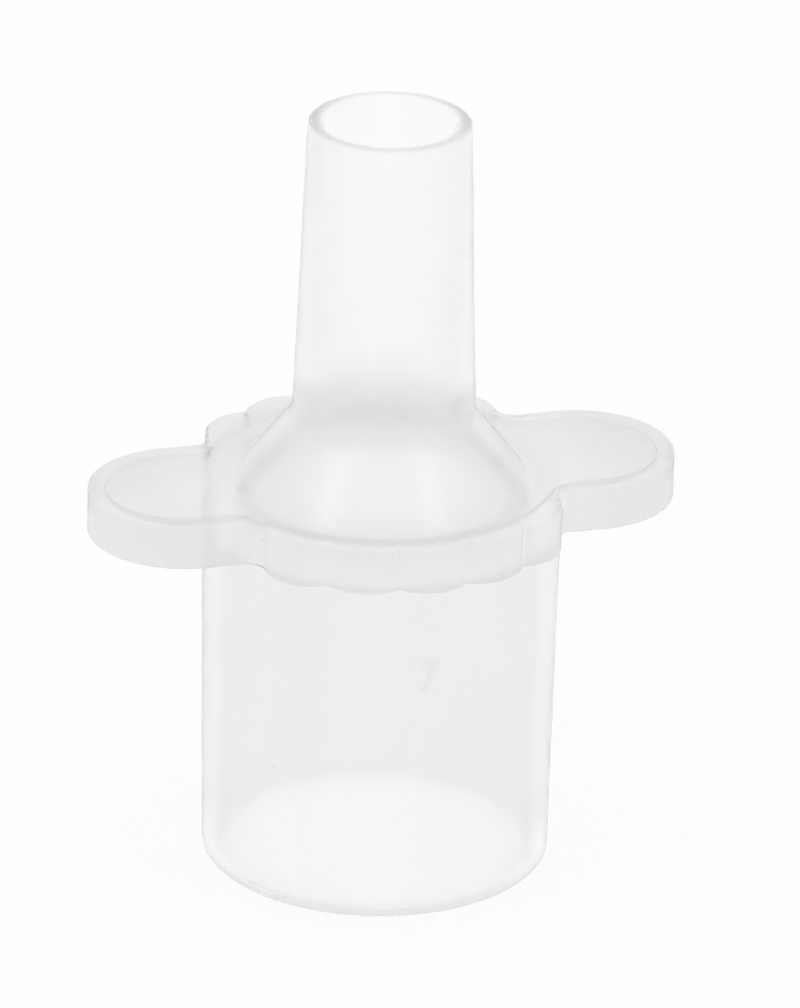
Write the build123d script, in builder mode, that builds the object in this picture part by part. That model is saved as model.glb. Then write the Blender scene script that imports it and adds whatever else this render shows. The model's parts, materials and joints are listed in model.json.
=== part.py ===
"""Winged tube connector, a hollow one-piece moulding modelled as its named zones.

A male cone stands on its open mouth. On top of it sits a flange with scalloped front and rear
edges and two finger wings, dished inside a raised rim. A hollow shoulder narrows from the
flange to a tapered tube spigot. The bore runs right through.

Millimetres. +Z is up along the bore, +X points to the right wing, and the origin is the centre
of the barrel's mouth, where the connector stands.
"""

import os

from build123d import *

# Male cone and its barrel
cone_diameter = 15.2  # across the leading end, at z = 0
cone_taper = 1 / 40  # on the diameter
barrel_length = 16.0  # mouth to the underside of the flange
barrel_wall = 1.1  # at the leading end; the bore is straight
barrel_lip_height = 0.6
barrel_lip_rounding = 0.35

# Flange
flange_thickness = 2.1  # underside to the top of the rim
dish_depth = 0.45
dish_diameter = 15.2
dish_corner_radius = 0.9
lobe_count = 5  # between the wings, on each side
lobe_pitch = 21.0  # degrees
lobe_radius = 2.0
lobe_circle_radius = 6.8  # to the lobes' own centres
lobe_valley_radius = 0.25

# Finger wings
wing_centre = 8.93  # bore axis to the centre of the wing's round end
wing_end_radius = 4.11
wing_rim_width = 0.75
wing_corner_radius = 0.8
wing_root = 7.2  # where the wing zones end and the flange zones begin

# Shoulder
shoulder_base_diameter = 12.8
shoulder_height = 3.1  # dish floor to the foot of the spigot
shoulder_neck_radius = 1.5
throat_length = 4.45  # inside, from the barrel bore to the spigot bore

# Tube spigot
spigot_length = 13.5  # foot to mouth
spigot_foot_diameter = 7.95
spigot_mouth_diameter = 7.05
spigot_wall = 0.625  # at the mouth; the bore is straight
spigot_collar = 0.9  # of the spigot's foot, taken into the shoulder zone with its neck
spigot_lip_height = 0.5
spigot_lip_rounding = 0.18

# Raised size numeral on the front of the barrel
numeral_height = 1.5
numeral_width = 0.8
numeral_stroke = 0.22
numeral_relief = 0.12
numeral_centre_height = 11.65

# Levels and radii that follow
dish_floor = barrel_length + flange_thickness - dish_depth
shoulder_top = dish_floor + shoulder_height
spigot_start = shoulder_top + spigot_collar
total_height = shoulder_top + spigot_length
spigot_lip_start = total_height - spigot_lip_height
throat_top = barrel_length + throat_length
spigot_foot = spigot_foot_diameter / 2
spigot_mouth = spigot_mouth_diameter / 2
barrel_bore = cone_diameter / 2 - barrel_wall
spigot_bore = spigot_mouth - spigot_wall
barrel_rounding = min(barrel_lip_rounding, barrel_wall / 2)
spigot_rounding = min(spigot_lip_rounding, spigot_wall / 2)
lobe_sweep = (lobe_count - 1) * lobe_pitch
flange_core_radius = lobe_circle_radius  # fills the flange inside the lobes


def cone_radius(height):
    """Outer radius of the male cone at a height."""
    return (cone_diameter + cone_taper * height) / 2


def spigot_radius(height):
    """Outer radius of the tapered spigot at a height."""
    share = (height - shoulder_top) / spigot_length
    return spigot_foot + (spigot_mouth - spigot_foot) * share


def throat_radius(height):
    """Inner radius of the throat between the two bores at a height."""
    share = (height - barrel_length) / throat_length
    return barrel_bore + (spigot_bore - barrel_bore) * share


# Plan shapes of the flange
with BuildSketch() as flange_outline:
    Circle(flange_core_radius)
    for middle in (-90, 90):
        with PolarLocations(
            lobe_circle_radius, lobe_count, middle - lobe_sweep / 2, lobe_sweep, endpoint=True
        ):
            Circle(lobe_radius)
    SlotCenterToCenter(2 * wing_centre, 2 * wing_end_radius)
    corners = flange_outline.vertices().group_by(lambda corner: abs(corner.X))
    valleys = [corner for group in corners[:-2] for corner in group]
    fillet(valleys, lobe_valley_radius)
    wing_corners = flange_outline.vertices().group_by(lambda corner: abs(corner.X))[-2]
    fillet(wing_corners, wing_corner_radius)

with BuildSketch() as dish_outline:
    Circle(dish_diameter / 2)
    SlotCenterToCenter(2 * wing_centre, 2 * (wing_end_radius - wing_rim_width))
    dish_corners = dish_outline.vertices().group_by(lambda corner: abs(corner.X))[0]
    fillet(dish_corners, dish_corner_radius)

# Male cone: the barrel, with the rounded lip of its leading end
with BuildPart() as cone_barrel:
    with BuildSketch(Plane.XZ):
        with BuildLine():
            Polyline(
                (barrel_bore, barrel_lip_height),
                (cone_radius(barrel_lip_height), barrel_lip_height),
                (cone_radius(barrel_length), barrel_length),
                (barrel_bore, barrel_length),
                close=True,
            )
        make_face()
    revolve(axis=Axis.Z)
cone_barrel.part.label = "cone_barrel"

with BuildPart() as barrel_lip:
    with BuildSketch(Plane.XZ):
        with BuildLine():
            Polyline(
                (barrel_bore, 0),
                (cone_radius(0), 0),
                (cone_radius(barrel_lip_height), barrel_lip_height),
                (barrel_bore, barrel_lip_height),
                close=True,
            )
        lip_face = make_face()
        lip_edge = lip_face.vertices().sort_by_distance((cone_diameter / 2, 0))[0]
        fillet(lip_edge, barrel_rounding)
    revolve(axis=Axis.Z)
barrel_lip.part.label = "barrel_lip"

# Flange web: the floor of the dish, from the throat out to the scalloped edge
with BuildPart() as flange_web:
    with BuildSketch(Plane.XY.offset(barrel_length)):
        add(flange_outline.sketch)
    extrude(amount=dish_floor - barrel_length)
    with BuildSketch(Plane.XZ):
        with BuildLine():
            Polyline(
                (0, barrel_length),
                (barrel_bore, barrel_length),
                (throat_radius(dish_floor), dish_floor),
                (0, dish_floor),
                close=True,
            )
        make_face()
    revolve(axis=Axis.Z, mode=Mode.SUBTRACT)
    split(bisect_by=Plane.YZ.offset(wing_root), keep=Keep.BOTTOM)
    split(bisect_by=Plane.YZ.offset(-wing_root), keep=Keep.TOP)
flange_web.part.label = "flange_web"

# Finger wings: the pads
with BuildPart() as right_wing:
    with BuildSketch(Plane.XY.offset(barrel_length)):
        add(flange_outline.sketch)
    extrude(amount=dish_floor - barrel_length)
    split(bisect_by=Plane.YZ.offset(wing_root), keep=Keep.TOP)
right_wing.part.label = "right_wing"

with BuildPart() as left_wing:
    mirror(right_wing.part, about=Plane.YZ)
left_wing.part.label = "left_wing"

# Raised rim round the dish: two wing rims and two scalloped grip rims
with BuildPart() as right_wing_rim:
    with BuildSketch(Plane.XY.offset(dish_floor)):
        add(flange_outline.sketch)
        add(dish_outline.sketch, mode=Mode.SUBTRACT)
    extrude(amount=dish_depth)
    split(bisect_by=Plane.YZ.offset(wing_root), keep=Keep.TOP)
right_wing_rim.part.label = "right_wing_rim"

with BuildPart() as left_wing_rim:
    mirror(right_wing_rim.part, about=Plane.YZ)
left_wing_rim.part.label = "left_wing_rim"

with BuildPart() as rear_grip_rim:
    with BuildSketch(Plane.XY.offset(dish_floor)):
        add(flange_outline.sketch)
        add(dish_outline.sketch, mode=Mode.SUBTRACT)
    extrude(amount=dish_depth)
    split(bisect_by=Plane.YZ.offset(wing_root), keep=Keep.BOTTOM)
    split(bisect_by=Plane.YZ.offset(-wing_root), keep=Keep.TOP)
    split(bisect_by=Plane.XZ, keep=Keep.BOTTOM)
rear_grip_rim.part.label = "rear_grip_rim"

with BuildPart() as front_grip_rim:
    mirror(rear_grip_rim.part, about=Plane.XZ)
front_grip_rim.part.label = "front_grip_rim"

# Shoulder: a hollow cone with its necked foot of the spigot
with BuildPart() as shoulder:
    with BuildSketch(Plane.XZ):
        with BuildLine():
            Polyline(
                (throat_radius(dish_floor), dish_floor),
                (shoulder_base_diameter / 2, dish_floor),
                (spigot_foot, shoulder_top),
                (spigot_radius(spigot_start), spigot_start),
                (spigot_bore, spigot_start),
                (spigot_bore, throat_top),
                close=True,
            )
        shoulder_face = make_face()
        neck = shoulder_face.vertices().sort_by_distance((spigot_foot, shoulder_top))[0]
        fillet(neck, shoulder_neck_radius)
    revolve(axis=Axis.Z)
shoulder.part.label = "shoulder"

# Tube spigot, with the rounded lip of its mouth
with BuildPart() as spigot_tube:
    with BuildSketch(Plane.XZ):
        with BuildLine():
            Polyline(
                (spigot_bore, spigot_start),
                (spigot_radius(spigot_start), spigot_start),
                (spigot_radius(spigot_lip_start), spigot_lip_start),
                (spigot_bore, spigot_lip_start),
                close=True,
            )
        make_face()
    revolve(axis=Axis.Z)
spigot_tube.part.label = "spigot_tube"

with BuildPart() as spigot_lip:
    with BuildSketch(Plane.XZ):
        with BuildLine():
            Polyline(
                (spigot_bore, spigot_lip_start),
                (spigot_radius(spigot_lip_start), spigot_lip_start),
                (spigot_mouth, total_height),
                (spigot_bore, total_height),
                close=True,
            )
        mouth_face = make_face()
        mouth_edge = mouth_face.vertices().sort_by_distance((spigot_mouth, total_height))[0]
        fillet(mouth_edge, spigot_rounding)
    revolve(axis=Axis.Z)
spigot_lip.part.label = "spigot_lip"

# Size numeral: raised strokes on the barrel, between the wings
numeral_plane = Plane(
    origin=(0, 0, numeral_centre_height), x_dir=(1, 0, 0), z_dir=(0, -1, 0)
)
stroke_reach_x = (numeral_width - numeral_stroke) / 2
stroke_reach_y = (numeral_height - numeral_stroke) / 2
with BuildPart() as size_numeral:
    with BuildSketch(numeral_plane):
        with BuildLine():
            Polyline(
                (-stroke_reach_x, stroke_reach_y),
                (stroke_reach_x, stroke_reach_y),
                (-stroke_reach_x / 2, -stroke_reach_y),
            )
        trace(line_width=numeral_stroke)
    extrude(amount=cone_diameter)
    with BuildSketch(Plane.XZ):
        with BuildLine():
            Polyline(
                (cone_radius(barrel_lip_height), barrel_lip_height),
                (cone_radius(barrel_lip_height) + numeral_relief, barrel_lip_height),
                (cone_radius(barrel_length) + numeral_relief, barrel_length),
                (cone_radius(barrel_length), barrel_length),
                close=True,
            )
        make_face()
    revolve(axis=Axis.Z, mode=Mode.INTERSECT)
size_numeral.part.label = "size_numeral"

zones = [
    barrel_lip,
    cone_barrel,
    size_numeral,
    flange_web,
    left_wing,
    right_wing,
    left_wing_rim,
    right_wing_rim,
    front_grip_rim,
    rear_grip_rim,
    shoulder,
    spigot_tube,
    spigot_lip,
]
os.makedirs("parts", exist_ok=True)
for zone in zones:
    export_step(zone.part, f"parts/{zone.part.label}.step")
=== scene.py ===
"""Winged tube connector: one hollow translucent moulding, dressed over its CAD frame.

All lengths are in metres, in the frame of the CAD model: +Z up the bore, +X to the right wing.
The moulding's skin is a grid. Every column is one bearing round the bore, and every ring is one
step along the profile: up the outside, over the flange and spigot, and back down the bore. The
skin is then parted at the joints of the CAD solids into closed pieces, one for each zone.
"""

import json
import math

import bpy
import numpy as np
from mathutils import Matrix, Vector


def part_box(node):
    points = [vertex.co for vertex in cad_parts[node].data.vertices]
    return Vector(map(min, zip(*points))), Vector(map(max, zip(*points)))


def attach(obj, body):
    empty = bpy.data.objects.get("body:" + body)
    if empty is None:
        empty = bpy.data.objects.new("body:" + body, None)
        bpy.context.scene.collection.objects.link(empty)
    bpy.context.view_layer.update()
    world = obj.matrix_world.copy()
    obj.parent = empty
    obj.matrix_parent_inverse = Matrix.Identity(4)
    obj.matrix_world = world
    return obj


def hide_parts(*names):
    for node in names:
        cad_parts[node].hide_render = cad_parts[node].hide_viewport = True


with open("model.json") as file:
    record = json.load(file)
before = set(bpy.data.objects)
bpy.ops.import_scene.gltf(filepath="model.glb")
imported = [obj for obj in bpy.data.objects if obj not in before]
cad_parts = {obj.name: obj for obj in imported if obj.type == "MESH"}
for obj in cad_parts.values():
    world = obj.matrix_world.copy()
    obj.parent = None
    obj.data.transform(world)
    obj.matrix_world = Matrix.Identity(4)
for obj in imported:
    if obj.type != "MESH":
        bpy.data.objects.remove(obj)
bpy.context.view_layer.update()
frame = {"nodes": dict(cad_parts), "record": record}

MM = 0.001

# ---- Sizes taken from the frame ----
_, lip_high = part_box("barrel_lip")
_, barrel_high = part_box("cone_barrel")
web_low, web_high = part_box("flange_web")
_, wing_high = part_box("right_wing")
_, rim_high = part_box("rear_grip_rim")
_, shoulder_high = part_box("shoulder")
tube_low, tube_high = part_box("spigot_tube")
mouth_low, mouth_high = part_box("spigot_lip")
mounts = {mount["name"]: mount for mount in frame["record"]["mounts"]}
barrel_bore = mounts["barrel_bore"]["dims"]["r_mm"] * MM
spigot_bore = mounts["spigot_bore"]["dims"]["r_mm"] * MM
throat_top = mouth_high.z - mounts["spigot_bore"]["dims"]["length_mm"] * MM

# ---- Sizes of the flange's plan and of the small roundings ----
WING_END_RADIUS = 4.11 * MM
WING_RIM_WIDTH = 0.75 * MM
WING_CORNER = 0.8 * MM
LOBE_RADIUS = 2.0 * MM
LOBE_COUNT = 5
LOBE_PITCH = 21.0  # degrees
LOBE_VALLEY = 0.25 * MM
DISH_RADIUS = 7.6 * MM
DISH_CORNER = 0.9 * MM
SHOULDER_HEIGHT = 3.1 * MM

BARREL_LIP_ROUNDING = 0.35 * MM
BARREL_BORE_ROUNDING = 0.15 * MM
UNDERSIDE_FILLET = 0.08 * MM
FLANGE_EDGE = 0.1 * MM
RIM_EDGE = 0.17 * MM
RIM_INNER_EDGE = 0.1 * MM
DISH_FILLET = 0.22 * MM
SHOULDER_FILLET = 0.5 * MM
NECK_FILLET = 1.5 * MM
SPIGOT_LIP_ROUNDING = 0.18 * MM
SPIGOT_BORE_ROUNDING = 0.12 * MM
THROAT_NECK = 0.6 * MM
THROAT_FOOT = 0.8 * MM
HOLDING_LOOP = 0.03 * MM  # straight left beside each rounding, which keeps flat walls flat

SIDE_POINTS = 12  # along the straight side of the dish in a wing
SAME_PLACE = 0.0001 * MM  # outline points closer than this are one point
LOWER_JOINT = 1 / 4  # where the joint below the flange meets the bore, as a share of the web
UPPER_JOINT = 1 / 3  # the same for the joint above it, measured down from the web's top

# ---- Flange plan: outlines as closed loops of points, one column each ----


def arc(centre, radius, start, end, steps):
    """Points along an arc, both ends included, angles in degrees."""
    turn = np.radians(np.linspace(start, end, steps + 1))
    return np.column_stack((centre[0] + radius * np.cos(turn), centre[1] + radius * np.sin(turn)))


def bearing(here, there):
    """Direction from one plan point to another, in degrees."""
    return math.degrees(math.atan2(there[1] - here[1], there[0] - here[0]))


def touching_point(start_x, start_y, height, reach):
    """Centre at that height whose distance from the start is reach, on its right."""
    return (start_x + math.sqrt(reach**2 - (height - start_y) ** 2), height)


def flange_quadrant():
    """Outer edge from the right wing's tip round to the middle of the rear lobe."""
    wing = (wing_high.x - WING_END_RADIUS, 0.0)
    ring = web_high.y - LOBE_RADIUS
    turns = [math.radians(90 - step * LOBE_PITCH) for step in range(LOBE_COUNT // 2, -1, -1)]
    lobes = [(ring * math.cos(turn), ring * math.sin(turn)) for turn in turns]
    corner = touching_point(*lobes[0], WING_END_RADIUS + WING_CORNER, LOBE_RADIUS + WING_CORNER)
    stretches = [
        arc(wing, WING_END_RADIUS, 0, 90, steps=28),
        arc(corner, WING_CORNER, 270, bearing(corner, lobes[0]) % 360, steps=10),
    ]
    start = bearing(lobes[0], corner)
    half_gap = ring * math.sin(math.radians(LOBE_PITCH / 2))
    valley_ring = ring * math.cos(math.radians(LOBE_PITCH / 2)) + math.sqrt(
        (LOBE_RADIUS + LOBE_VALLEY) ** 2 - half_gap**2
    )
    for near, far, turn in zip(lobes, lobes[1:], turns):
        middle = turn + math.radians(LOBE_PITCH / 2)
        valley = (valley_ring * math.cos(middle), valley_ring * math.sin(middle))
        inward, onward = bearing(valley, near), bearing(valley, far)
        stretches.append(arc(near, LOBE_RADIUS, start, bearing(near, valley), steps=14))
        stretches.append(arc(valley, LOBE_VALLEY, inward, onward, steps=6))
        start = bearing(far, valley)
    stretches.append(arc(lobes[-1], LOBE_RADIUS, start, 90, steps=8))
    return without_repeats(np.vstack(stretches))


def dish_quadrant():
    """Edge of the dished floor, over the same quarter."""
    wing = (wing_high.x - WING_END_RADIUS, 0.0)
    wing_radius = WING_END_RADIUS - WING_RIM_WIDTH
    corner = touching_point(0.0, 0.0, wing_radius + DISH_CORNER, DISH_RADIUS + DISH_CORNER)
    outs = np.linspace(wing[0], corner[0], SIDE_POINTS)
    side = np.column_stack((outs, np.full(SIDE_POINTS, wing_radius)))
    stretches = [
        arc(wing, wing_radius, 0, 90, steps=40),
        side,
        arc(corner, DISH_CORNER, -90, bearing(corner, (0.0, 0.0)), steps=12),
        arc((0.0, 0.0), DISH_RADIUS, bearing((0.0, 0.0), corner), 90, steps=30),
    ]
    return without_repeats(np.vstack(stretches))


def without_repeats(points):
    """The points with each that repeats its neighbour left out."""
    step = np.linalg.norm(np.diff(points, axis=0), axis=1)
    return points[np.r_[True, step > SAME_PLACE]]


def whole_loop(quadrant):
    """The quarter mirrored to the left and then to the front."""
    rear = np.vstack((quadrant, quadrant[-2::-1] * (-1, 1)))
    return np.vstack((rear, rear[-2:0:-1] * (1, -1)))


def outward(loop):
    """Unit normals of a closed anticlockwise loop."""
    along = np.roll(loop, -1, 0) - np.roll(loop, 1, 0)
    normal = np.column_stack((along[:, 1], -along[:, 0]))
    return normal / np.linalg.norm(normal, axis=1)[:, None]


flange_loop = whole_loop(flange_quadrant())
flange_normals = outward(flange_loop)
spokes = flange_loop / np.linalg.norm(flange_loop, axis=1)[:, None]
dish_edge = dish_quadrant()
folded = np.arctan2(np.abs(spokes[:, 1]), np.abs(spokes[:, 0]))
dish_reach = np.interp(
    folded, np.arctan2(dish_edge[:, 1], dish_edge[:, 0]), np.hypot(dish_edge[:, 0], dish_edge[:, 1])
)
dish_loop = spokes * dish_reach[:, None]
dish_normals = outward(dish_loop)

# ---- Profile: rings along the skin ----


def rounded(corners, closed=False, steps=7):
    """Corners given as (out, up, rounding), with each corner turned into an arc."""
    count = len(corners)
    places = np.array([corner[:2] for corner in corners], float)
    points = []
    for index, (*_, rounding) in enumerate(corners):
        here = places[index]
        if rounding == 0 or (not closed and index in (0, count - 1)):
            points.append(here)
            continue
        back = places[index - 1] - here
        ahead = places[(index + 1) % count] - here
        back /= np.linalg.norm(back)
        ahead /= np.linalg.norm(ahead)
        half = math.acos(np.clip(back @ ahead, -1, 1)) / 2
        tangent = rounding / math.tan(half)
        towards = (back + ahead) / np.linalg.norm(back + ahead)
        centre = here + towards * rounding / math.sin(half)
        start, end = here + back * tangent - centre, here + ahead * tangent - centre
        sweep = math.pi - 2 * half
        points.append(here + back * (tangent + HOLDING_LOOP))
        for share in np.linspace(0, 1, steps + 1):
            spun = start * math.sin((1 - share) * sweep) + end * math.sin(share * sweep)
            points.append(centre + spun / math.sin(sweep))
        points.append(here + ahead * (tangent + HOLDING_LOOP))
    return points


def cone_radius(height):
    """Outer radius of the male cone at a height."""
    slope = (barrel_high.x - lip_high.x) / (barrel_high.z - lip_high.z)
    return lip_high.x + (height - lip_high.z) * slope


def spigot_radius(height):
    """Outer radius of the tapered spigot at a height."""
    slope = (mouth_high.x - tube_high.x) / (mouth_low.z - tube_low.z)
    return tube_high.x + (height - tube_low.z) * slope


def throat_radius(height):
    """Inner radius of the conical throat at a height."""
    slope = (spigot_bore - barrel_bore) / (throat_top - web_low.z)
    return barrel_bore + (height - web_low.z) * slope


def round_rings(profile):
    """Circular rings round the bore, from (out, up) points."""
    return [np.column_stack((spokes * out, np.full(len(spokes), up))) for out, up in profile]


def loop_rings(loop, normals, profile):
    """Rings that follow a plan loop, from (outset, up) points."""
    return [np.column_stack((loop + normals * out, np.full(len(loop), up))) for out, up in profile]


def skin_rings():
    """All rings of the skin in order from the barrel's foot, and the places of its joint rings.

    The joints are where the CAD solids meet. Each has one ring on the way up the outside and one
    on the way down the bore. The two at the flange slope into the web, clear of its flat faces.
    """
    shoulder_top = web_high.z + SHOULDER_HEIGHT
    foot = (barrel_bore + cone_radius(0)) / 2
    web_lower = web_low.z + (web_high.z - web_low.z) * LOWER_JOINT
    web_upper = web_high.z - (web_high.z - web_low.z) * UPPER_JOINT
    outside = rounded(
        [
            (foot, 0, 0),
            (cone_radius(0), 0, BARREL_LIP_ROUNDING),
            (cone_radius(lip_high.z), lip_high.z, 0),
            (cone_radius(web_low.z), web_low.z, UNDERSIDE_FILLET),
            (cone_radius(web_low.z) + 2 * UNDERSIDE_FILLET, web_low.z, 0),
        ]
    )
    edge = rounded(
        [
            (-FLANGE_EDGE - 2 * HOLDING_LOOP, web_low.z, 0),
            (0, web_low.z, FLANGE_EDGE),
            (0, rim_high.z, RIM_EDGE),
            (-RIM_EDGE - 2 * HOLDING_LOOP, rim_high.z, 0),
        ]
    )
    dish = rounded(
        [
            (RIM_INNER_EDGE + 2 * HOLDING_LOOP, rim_high.z, 0),
            (0, rim_high.z, RIM_INNER_EDGE),
            (0, web_high.z, DISH_FILLET),
            (-DISH_FILLET - 2 * HOLDING_LOOP, web_high.z, 0),
        ]
    )
    inside = rounded(
        [
            (shoulder_high.x + 2 * HOLDING_LOOP + SHOULDER_FILLET, web_high.z, 0),
            (shoulder_high.x, web_high.z, SHOULDER_FILLET),
            (spigot_radius(shoulder_top), shoulder_top, NECK_FILLET),
            (spigot_radius(tube_low.z), tube_low.z, 0),
            (spigot_radius(mouth_low.z), mouth_low.z, 0),
            (spigot_radius(mouth_high.z), mouth_high.z, SPIGOT_LIP_ROUNDING),
            (spigot_bore, mouth_high.z, SPIGOT_BORE_ROUNDING),
            (spigot_bore, mouth_low.z, 0),
            (spigot_bore, tube_low.z, 0),
            (spigot_bore, throat_top, THROAT_NECK),
            (throat_radius(web_upper), web_upper, 0),
            (throat_radius(web_lower), web_lower, 0),
            (barrel_bore, web_low.z, THROAT_FOOT),
            (barrel_bore, lip_high.z, 0),
            (barrel_bore, 0, BARREL_BORE_ROUNDING),
            (foot, 0, 0),
        ]
    )
    rings = (
        round_rings(outside)
        + loop_rings(flange_loop, flange_normals, edge)
        + loop_rings(dish_loop, dish_normals, dish)
        + round_rings(inside[:-1])
    )
    heights = np.array([ring[0][2] for ring in rings])
    underside, shoulder_foot = len(outside) - 1, len(rings) - len(inside) + 1
    crest = int(np.argmax(heights))

    def ring_at(height, first, last):
        """Place of the ring nearest to a height, between two places."""
        return first + int(np.argmin(np.abs(heights[first:last] - height)))

    climbing = [
        ring_at(lip_high.z, 0, underside),
        underside,
        shoulder_foot,
        ring_at(tube_low.z, shoulder_foot, crest),
        ring_at(mouth_low.z, shoulder_foot, crest),
    ]
    joints = (lip_high.z, web_lower, web_upper, tube_low.z, mouth_low.z)
    falling = [ring_at(height, crest, len(rings)) for height in joints]
    return rings, climbing, falling


def strip(lower, upper, columns):
    """The quads between two rings, given by their places."""
    for column in range(columns):
        beside = (column + 1) % columns
        yield (
            lower * columns + column,
            lower * columns + beside,
            upper * columns + beside,
            upper * columns + column,
        )


def skin_mesh(name, rings, order):
    """A closed mesh through the rings of that order, and which of its faces span a joint."""
    columns = len(rings[0])
    faces, across = [], []
    for step, ring in enumerate(order):
        above = (step + 1) % len(order)
        quads = list(strip(step, above, columns))
        faces += quads
        across += [order[above] != (ring + 1) % len(rings)] * len(quads)
    mesh = bpy.data.meshes.new(name)
    mesh.from_pydata([tuple(v) for v in np.vstack([rings[ring] for ring in order])], [], faces)
    mesh.update()
    mesh.shade_smooth()
    return mesh, across


def skin_normals(rings):
    """Smooth normals of the whole skin, ring by ring, so that no joint shows as a line."""
    mesh, _ = skin_mesh("whole_skin", rings, range(len(rings)))
    normals = np.zeros(len(mesh.vertices) * 3)
    mesh.vertices.foreach_get("normal", normals)
    bpy.data.meshes.remove(mesh)
    return normals.reshape(len(rings), -1, 3)


def moulded_zones():
    """The moulding as closed pieces that meet at the joint rings."""
    rings, climbing, falling = skin_rings()
    normals = skin_normals(rings)
    orders = {"barrel_lip": [*range(falling[0], len(rings)), *range(climbing[0] + 1)]}
    names = ("cone_barrel", "winged_flange", "shoulder", "spigot_tube")
    for zone, name in enumerate(names):
        outer = range(climbing[zone], climbing[zone + 1] + 1)
        orders[name] = [*outer, *range(falling[zone + 1], falling[zone] + 1)]
    orders["spigot_lip"] = list(range(climbing[-1], falling[-1] + 1))
    pieces = {}
    for name, order in orders.items():
        mesh, across = skin_mesh(name, rings, order)
        mesh.normals_split_custom_set_from_vertices(np.vstack([normals[ring] for ring in order]))
        mesh.polygons.foreach_set("material_index", np.array(across, dtype=np.int32))
        pieces[name] = bpy.data.objects.new(name + "_skin", mesh)
        bpy.context.collection.objects.link(pieces[name])
    return pieces


zones = moulded_zones()

# ---- Shader groups ----
FLOW_STRETCH = 0.3  # clouds run about three times as long up the bore as across it
RIPPLE_STRETCH = 0.12
CLOUDS_FROM = 0.35  # noise below this is clear plastic
CLOUDS_TO = 0.65  # noise above this is the milkiest cloud


def add(tree, kind, inputs=None, **settings):
    """A new shader node, with its settings, and with each input given a value or a link."""
    made = tree.nodes.new("ShaderNode" + kind)
    for setting, choice in settings.items():
        setattr(made, setting, choice)
    for socket, value in (inputs or {}).items():
        if isinstance(value, bpy.types.NodeSocket):
            tree.links.new(value, made.inputs[socket])
        else:
            made.inputs[socket].default_value = value
    return made


def shader_group(name, result, **inputs):
    """A new node group: its tree, the sockets given to it by name, and the socket it answers."""
    tree = bpy.data.node_groups.new(name, "ShaderNodeTree")
    for socket, value in inputs.items():
        kind = "NodeSocketVector" if value is None else "NodeSocketFloat"
        made = tree.interface.new_socket(socket, in_out="INPUT", socket_type=kind)
        if value is not None:
            made.default_value = value
    tree.interface.new_socket(result, in_out="OUTPUT", socket_type="NodeSocketFloat")
    given = tree.nodes.new("NodeGroupInput").outputs
    return tree, given, tree.nodes.new("NodeGroupOutput").inputs[result]


def math_node(tree, operation, first, second=0.0, clamp=False):
    """The result of one sum."""
    return add(tree, "Math", {0: first, 1: second}, operation=operation, use_clamp=clamp).outputs[0]


def melt_clouds():
    """Soft clouds in the melt, drawn out along the flow up the bore: 0 clear to 1 milky."""
    tree, given, result = shader_group("melt_clouds", "Clouds", Position=None, Size=3 * MM)
    stretch = {0: given["Position"], 1: (1, 1, FLOW_STRETCH)}
    drawn = add(tree, "VectorMath", stretch, operation="MULTIPLY")
    scale = math_node(tree, "DIVIDE", 1.0, given["Size"])
    noise = add(tree, "TexNoise", {"Vector": drawn.outputs[0], "Scale": scale, "Detail": 3.0})
    spread = {"Value": noise.outputs["Fac"], "From Min": CLOUDS_FROM, "From Max": CLOUDS_TO}
    tree.links.new(add(tree, "MapRange", spread).outputs[0], result)
    return tree


def painted_shade_ring():
    """How near a point is to a ring round the bore, where shade is painted into the colour, partly
    for the denser look of thick plastic.
    """
    tree, given, result = shader_group(
        "painted_shade_ring", "Density", Position=None, Radius=7 * MM, Height=0.0, Reach=1 * MM
    )
    place = add(tree, "SeparateXYZ", {0: given["Position"]}).outputs
    level = add(tree, "CombineXYZ", {0: place["X"], 1: place["Y"]}).outputs[0]
    out = add(tree, "VectorMath", {0: level}, operation="LENGTH").outputs["Value"]
    aside = math_node(tree, "SUBTRACT", out, given["Radius"])
    above = math_node(tree, "SUBTRACT", place["Z"], given["Height"])
    apart = add(tree, "CombineXYZ", {0: aside, 1: above}).outputs[0]
    distance = add(tree, "VectorMath", {0: apart}, operation="LENGTH").outputs["Value"]
    share = math_node(tree, "DIVIDE", distance, given["Reach"])
    near = {"Value": share, "To Min": 1.0, "To Max": 0.0}
    tree.links.new(add(tree, "MapRange", near, interpolation_type="SMOOTHSTEP").outputs[0], result)
    return tree


def dark_specks():
    """Rare burnt grains in the melt: 1 on a speck and 0 between them."""
    tree, given, result = shader_group(
        "dark_specks", "Specks", Position=None, Spacing=0.6 * MM, Share=0.02, Radius=0.07 * MM
    )
    scale = math_node(tree, "DIVIDE", 1.0, given["Spacing"])
    cells = add(tree, "TexVoronoi", {"Vector": given["Position"], "Scale": scale})
    reach = math_node(tree, "MULTIPLY", given["Radius"], scale)
    near = {"Value": cells.outputs["Distance"], "From Max": reach, "To Min": 1.0, "To Max": 0.0}
    grain = add(tree, "MapRange", near).outputs[0]
    chance = add(tree, "SeparateColor", {0: cells.outputs["Color"]}).outputs[0]
    chosen = math_node(tree, "LESS_THAN", chance, given["Share"])
    tree.links.new(math_node(tree, "MULTIPLY", grain, chosen), result)
    return tree


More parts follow.
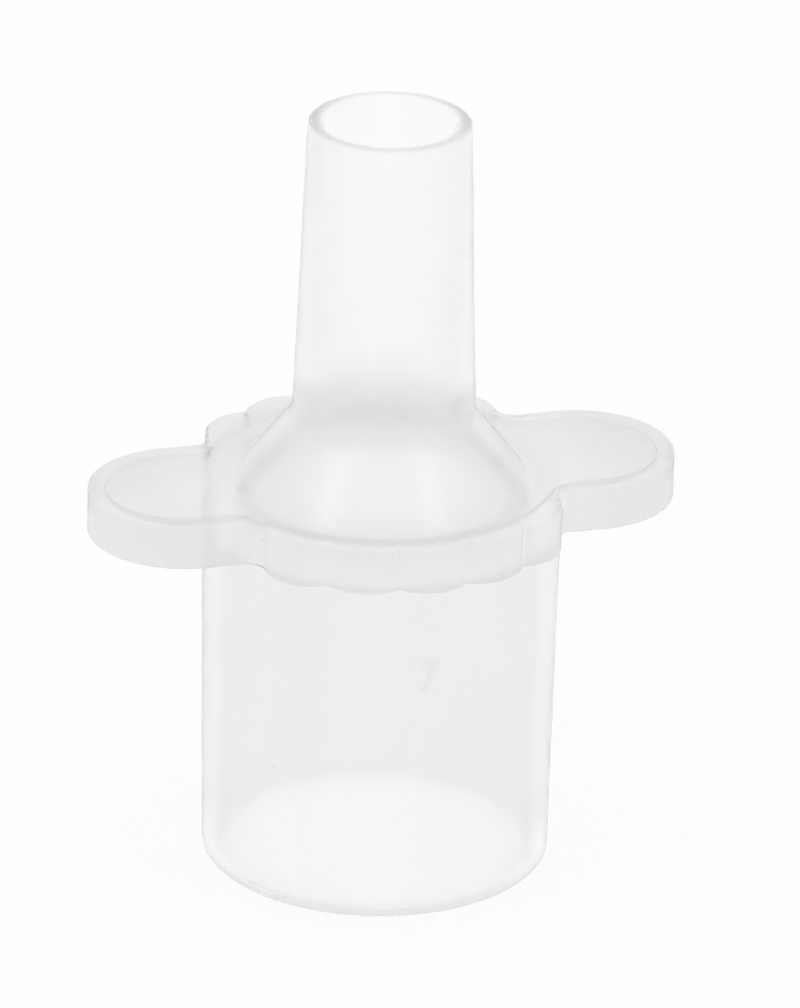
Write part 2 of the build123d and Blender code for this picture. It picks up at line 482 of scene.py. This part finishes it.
def tool_finish():
    """Height of the moulded face: fine tool grain over long soft ripples up the bore."""
    tree, given, result = shader_group(
        "tool_finish", "Height", Position=None, Grain=0.12 * MM, Ripple=2.5 * MM, Rippling=0.6
    )
    stretch = {0: given["Position"], 1: (1, 1, RIPPLE_STRETCH)}
    drawn = add(tree, "VectorMath", stretch, operation="MULTIPLY")
    fine_scale = math_node(tree, "DIVIDE", 1.0, given["Grain"])
    fine = add(tree, "TexNoise", {"Vector": given["Position"], "Scale": fine_scale, "Detail": 1.0})
    long_scale = math_node(tree, "DIVIDE", 1.0, given["Ripple"])
    long = add(tree, "TexNoise", {"Vector": drawn.outputs[0], "Scale": long_scale, "Detail": 1.0})
    both = {"Factor": given["Rippling"], 2: fine.outputs["Fac"], 3: long.outputs["Fac"]}
    tree.links.new(add(tree, "Mix", both).outputs[0], result)
    return tree


def rubbed_gloss():
    """Roughness that drifts from place to place, glossier where fingers have rubbed it."""
    tree, given, result = shader_group(
        "rubbed_gloss", "Roughness", Position=None, Middle=0.3, Spread=0.1, Size=5 * MM
    )
    scale = math_node(tree, "DIVIDE", 1.0, given["Size"])
    noise = add(tree, "TexNoise", {"Vector": given["Position"], "Scale": scale, "Detail": 2.0})
    centred = math_node(tree, "SUBTRACT", noise.outputs["Fac"], 0.5)
    drift = math_node(tree, "MULTIPLY", centred, given["Spread"])
    tree.links.new(math_node(tree, "ADD", given["Middle"], drift), result)
    return tree


GROUPS = {
    "melt_clouds": melt_clouds(),
    "painted_shade_ring": painted_shade_ring(),
    "dark_specks": dark_specks(),
    "tool_finish": tool_finish(),
    "rubbed_gloss": rubbed_gloss(),
}


def use_group(tree, name, **inputs):
    """The answer of a shader group placed in a material with its own values."""
    placed = add(tree, "Group", node_tree=GROUPS[name])
    for socket, value in inputs.items():
        if isinstance(value, bpy.types.NodeSocket):
            tree.links.new(value, placed.inputs[socket])
        else:
            placed.inputs[socket].default_value = value
    return placed.outputs[0]


# ---- Materials ----
COLOUR_INPUTS = (6, 7)  # the two colours of a Mix node
COLOUR_OUTPUT = 2
CLOUD_LOSS = 0.98  # how much darker the milkiest cloud is than the clearest plastic
SPECK_GREY = 0.35
GRAIN_DEPTH = 0.004 * MM
PLASTIC_COAT = 0.3
COAT_ROUGHNESS = 0.18
EDGE_SHADE_BLEND = 0.7  # how broad the painted edge-on shade is; high, so that a wall turned half away already counts as edge on


def grey(value):
    """An opaque grey."""
    return (value, value, value, 1)


def blend_colours(tree, share, first, second):
    """One colour over another by a mask."""
    mixed = add(tree, "Mix", {"Factor": share}, data_type="RGBA")
    for place, value in zip(COLOUR_INPUTS, (first, second)):
        if isinstance(value, bpy.types.NodeSocket):
            tree.links.new(value, mixed.inputs[place])
        else:
            mixed.inputs[place].default_value = value
    return mixed.outputs[COLOUR_OUTPUT]


def from_outside(tree, mask, edge_on):
    """A painted-shade mask kept where the plastic is met from outside, and, if edge_on, along its
    face, growing as the face turns edge on.
    """
    inside = add(tree, "NewGeometry").outputs["Backfacing"]
    outside = math_node(tree, "SUBTRACT", 1.0, inside)
    kept = math_node(tree, "MULTIPLY", mask, outside)
    if not edge_on:
        return kept
    edge_on_shade = add(tree, "LayerWeight", {"Blend": EDGE_SHADE_BLEND}).outputs["Facing"]
    return math_node(tree, "MULTIPLY", kept, edge_on_shade)


def milky_plastic(name, clearness, colour, roughness, bend, shade_bands=()):
    """Moulded translucent polypropylene.

    clearness is how much light a face lets in, colour how white the wall is drawn, partly painted
    shade that differs from zone to zone, and bend the index of refraction, well under the resin's
    own because the wall scatters more than it bends. The shade bands are painted shade, laid over
    the body in their order.
    """
    material = bpy.data.materials.new(name)
    material.use_nodes = True
    tree = material.node_tree
    shader = tree.nodes["Principled BSDF"]
    place = add(tree, "TexCoord").outputs["Object"]
    clouds = use_group(tree, "melt_clouds", Position=place)
    body = blend_colours(tree, clouds, grey(colour), grey(colour * CLOUD_LOSS))
    # Each band darkens the body with painted shade, only on faces met from outside.
    for ring, shade_colour, edge_on in shade_bands:
        painted_shade = use_group(tree, "painted_shade_ring", Position=place, **ring)
        body = blend_colours(tree, from_outside(tree, painted_shade, edge_on), body, grey(shade_colour))
    specks = use_group(tree, "dark_specks", Position=place)
    body = blend_colours(tree, specks, body, grey(SPECK_GREY))
    tree.links.new(body, shader.inputs["Base Color"])
    gloss = use_group(tree, "rubbed_gloss", Position=place, Middle=roughness)
    tree.links.new(gloss, shader.inputs["Roughness"])
    relief = use_group(tree, "tool_finish", Position=place)
    bump = add(tree, "Bump", {"Height": relief, "Distance": GRAIN_DEPTH})
    tree.links.new(bump.outputs[0], shader.inputs["Normal"])
    shader.inputs["IOR"].default_value = bend
    shader.inputs["Transmission Weight"].default_value = clearness
    shader.inputs["Coat Weight"].default_value = PLASTIC_COAT
    shader.inputs["Coat Roughness"].default_value = COAT_ROUGHNESS
    return material


def inside_joint():
    """For faces inside the moulding, where its zones meet: there is nothing to see."""
    material = bpy.data.materials.new("inside_joint")
    material.use_nodes = True
    tree = material.node_tree
    tree.nodes.remove(tree.nodes["Principled BSDF"])
    clear = add(tree, "BsdfTransparent")
    tree.links.new(clear.outputs[0], tree.nodes["Material Output"].inputs["Surface"])
    return material


def shade_band(radius, height, reach, colour, edge_on=False):
    """A ring of painted shade round the bore, partly for plastic that is thick or seen end on.

    It fades to its colour at that radius and height, and ends at reach from there. With edge_on
    it shows only where the wall is seen along its face, so that more of it lies in the way: there
    the shade is painted darker as the view turns.
    """
    return {"Radius": radius, "Height": height, "Reach": reach}, colour, edge_on


# Centres of two rings of painted shade: on the shoulder's flanks, and round the spigot's mouth.
flank_radius = shoulder_high.x - 0.7 * MM
flank_height = web_high.z + 1.3 * MM
mouth_radius = (mouth_high.x + spigot_bore) / 2

# Painted shade: a dark ring round the barrel's foot, partly its thick lip and partly a contact
# shadow.
foot = shade_band(cone_radius(0), 0.0, reach=0.9 * MM, colour=0.68)
# Painted shade: the wings drawn darker out towards their ends.
wing_shade = shade_band(wing_high.x - 1.5 * MM, web_high.z, reach=4.5 * MM, colour=0.83)
# Painted shade in the dished floor round the shoulder's foot, where the flange meets the shoulder.
skirt_shade = shade_band(shoulder_high.x + 0.4 * MM, web_high.z, reach=2.0 * MM, colour=0.85)
# Painted shade on the shoulder's flanks where they are seen edge on.
flank_shade = shade_band(flank_radius, flank_height, reach=2.95 * MM, colour=0.75, edge_on=True)
# Painted shade: the spigot drawn slowly darker down towards its foot.
tube_foot_shade = shade_band(tube_high.x, tube_low.z, reach=14 * MM, colour=0.96)
# Painted shade: a dark ring round the spigot's mouth, partly its thick lip.
mouth_shade = shade_band(mouth_radius, mouth_high.z, reach=0.35 * MM, colour=0.78)

# The body colours are partly painted shade: the same plastic is drawn darkest in the thick flange
# and whitest in the thin spigot and its mouth.
finishes = {
    "barrel_lip": milky_plastic(
        "milky_foot", clearness=0.88, colour=0.97, roughness=0.28, bend=1.12, shade_bands=[foot]
    ),
    "cone_barrel": milky_plastic(
        "milky_barrel", clearness=0.9, colour=0.965, roughness=0.4, bend=1.05, shade_bands=[foot]
    ),
    "winged_flange": milky_plastic(
        "milky_flange",
        clearness=0.78,
        colour=0.912,
        roughness=0.55,
        bend=1.06,
        shade_bands=[wing_shade, skirt_shade],
    ),
    "shoulder": milky_plastic(
        "milky_shoulder",
        clearness=0.9,
        colour=0.978,
        roughness=0.6,
        bend=1.06,
        shade_bands=[skirt_shade, flank_shade],
    ),
    "spigot_tube": milky_plastic(
        "milky_spigot", clearness=0.98, colour=1.0, roughness=0.4, bend=1.1, shade_bands=[tube_foot_shade]
    ),
    "spigot_lip": milky_plastic(
        "milky_mouth", clearness=0.98, colour=1.0, roughness=0.3, bend=1.2, shade_bands=[mouth_shade]
    ),
}
stands_for = {name: [name] for name in finishes}
stands_for["winged_flange"] = [
    node for node in frame["nodes"] if "wing" in node or "grip" in node or "flange" in node
]
hidden_faces = inside_joint()
for name, piece in zones.items():
    piece.data.materials.append(finishes[name])
    piece.data.materials.append(hidden_faces)
    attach(piece, "root")
    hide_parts(*stands_for[name])

numeral_finish = milky_plastic(
    "milky_numeral", clearness=0.9, colour=0.97, roughness=0.35, bend=1.06
)
for slot in bpy.data.objects["size_numeral"].material_slots:
    slot.material = numeral_finish

# ---- Floor, light and camera ----
FLOOR_SIZE = 6.0
FLOOR_GREY = 0.9
FLOOR_ROUGHNESS = 0.9
FLOOR_WHITENESS = 0.9  # how far the floor is drawn white where it is seen rather than lit by
SURROUND_LIGHT = 0.88  # strength of the white surround where it lights the connector
SURROUND_SEEN = 1.0

VIEW_TURN = -16.2  # degrees round from the front
VIEW_HEIGHT = 24.44  # degrees above the level
VIEW_ROLL = 1.32  # degrees
VIEW_DISTANCE = 0.450
VIEW_LENS = 466.8  # focal length in millimetres, as the camera takes it
SENSOR_WIDTH = 36.0  # millimetres too
NEAREST_SEEN = 0.01
VIEW_AIM = Vector((0.758 * MM, -0.220 * MM, 16.33 * MM))

LAMP_DISTANCE = 0.4
LAMP_HEIGHT = 46.0  # degrees above the level
LAMP_SPREAD = 58.0  # degrees to each side of the camera
LAMP_SIZE = 0.11
LEFT_POWER = 0.12
RIGHT_POWER = 0.1


def seen_directly(tree):
    """1 for rays that show the background itself, 0 for rays that light the object."""
    path = add(tree, "LightPath").outputs
    either = math_node(tree, "MAXIMUM", path["Is Camera Ray"], path["Is Glossy Ray"])
    return math_node(tree, "MAXIMUM", either, path["Is Transmission Ray"])


def pale_floor():
    """A pale matte floor that is drawn nearly white, keeping a trace of the shadow."""
    bpy.ops.mesh.primitive_plane_add(size=FLOOR_SIZE, location=(0, 0, 0))
    floor = bpy.context.object
    floor.name = "floor"
    material = bpy.data.materials.new("pale_floor")
    material.use_nodes = True
    tree = material.node_tree
    shader = tree.nodes["Principled BSDF"]
    shader.inputs["Base Color"].default_value = grey(FLOOR_GREY)
    shader.inputs["Roughness"].default_value = FLOOR_ROUGHNESS
    white = add(tree, "Emission", {"Strength": 1.0})
    share = math_node(tree, "MULTIPLY", seen_directly(tree), FLOOR_WHITENESS)
    both = {0: share, 1: shader.outputs[0], 2: white.outputs[0]}
    blend = add(tree, "MixShader", both)
    tree.links.new(blend.outputs[0], tree.nodes["Material Output"].inputs["Surface"])
    floor.data.materials.append(material)


def white_surround():
    """An even white world, a little dimmer where it lights the connector."""
    world = bpy.data.worlds.new("white_surround")
    bpy.context.scene.world = world
    world.use_nodes = True
    tree = world.node_tree
    backdrop = tree.nodes["Background"]
    backdrop.inputs["Color"].default_value = grey(1.0)
    ends = {"Value": seen_directly(tree), "To Min": SURROUND_LIGHT, "To Max": SURROUND_SEEN}
    tree.links.new(add(tree, "MapRange", ends).outputs[0], backdrop.inputs["Strength"])


def softbox(name, turn, power):
    """A square lamp at that many degrees round from the front, aimed at the flange."""
    aim = Vector((0, 0, web_low.z))
    across, height = math.radians(turn), math.radians(LAMP_HEIGHT)
    level = math.cos(height)
    way = Vector((math.sin(across) * level, -math.cos(across) * level, math.sin(height)))
    lamp = bpy.data.lights.new(name, "AREA")
    lamp.size = LAMP_SIZE
    lamp.energy = power
    box = bpy.data.objects.new(name, lamp)
    box.location = aim + way * LAMP_DISTANCE
    box.rotation_euler = way.to_track_quat("Z", "Y").to_euler()
    bpy.context.collection.objects.link(box)


def add_camera():
    """A long lens from the front, a little to the left and looking down."""
    turn, height, roll = (math.radians(a) for a in (VIEW_TURN, VIEW_HEIGHT, VIEW_ROLL))
    ahead = Vector(
        (-math.sin(turn) * math.cos(height), math.cos(turn) * math.cos(height), -math.sin(height))
    )
    level = ahead.cross(Vector((0, 0, 1))).normalized()
    upward = level.cross(ahead)
    right = level * math.cos(roll) + upward * math.sin(roll)
    top = upward * math.cos(roll) - level * math.sin(roll)
    data = bpy.data.cameras.new("camera")
    data.sensor_fit = "HORIZONTAL"
    data.sensor_width = SENSOR_WIDTH
    data.lens = VIEW_LENS
    data.clip_start = NEAREST_SEEN
    camera = bpy.data.objects.new("camera", data)
    bpy.context.collection.objects.link(camera)
    turned = Matrix((right, top, -ahead)).transposed().to_4x4()
    camera.matrix_world = Matrix.Translation(VIEW_AIM - ahead * VIEW_DISTANCE) @ turned
    bpy.context.scene.camera = camera


pale_floor()
white_surround()
softbox("softbox_left", VIEW_TURN - LAMP_SPREAD, LEFT_POWER)
softbox("softbox_right", VIEW_TURN + LAMP_SPREAD, RIGHT_POWER)
add_camera()
bpy.context.scene.view_settings.view_transform = "Standard"
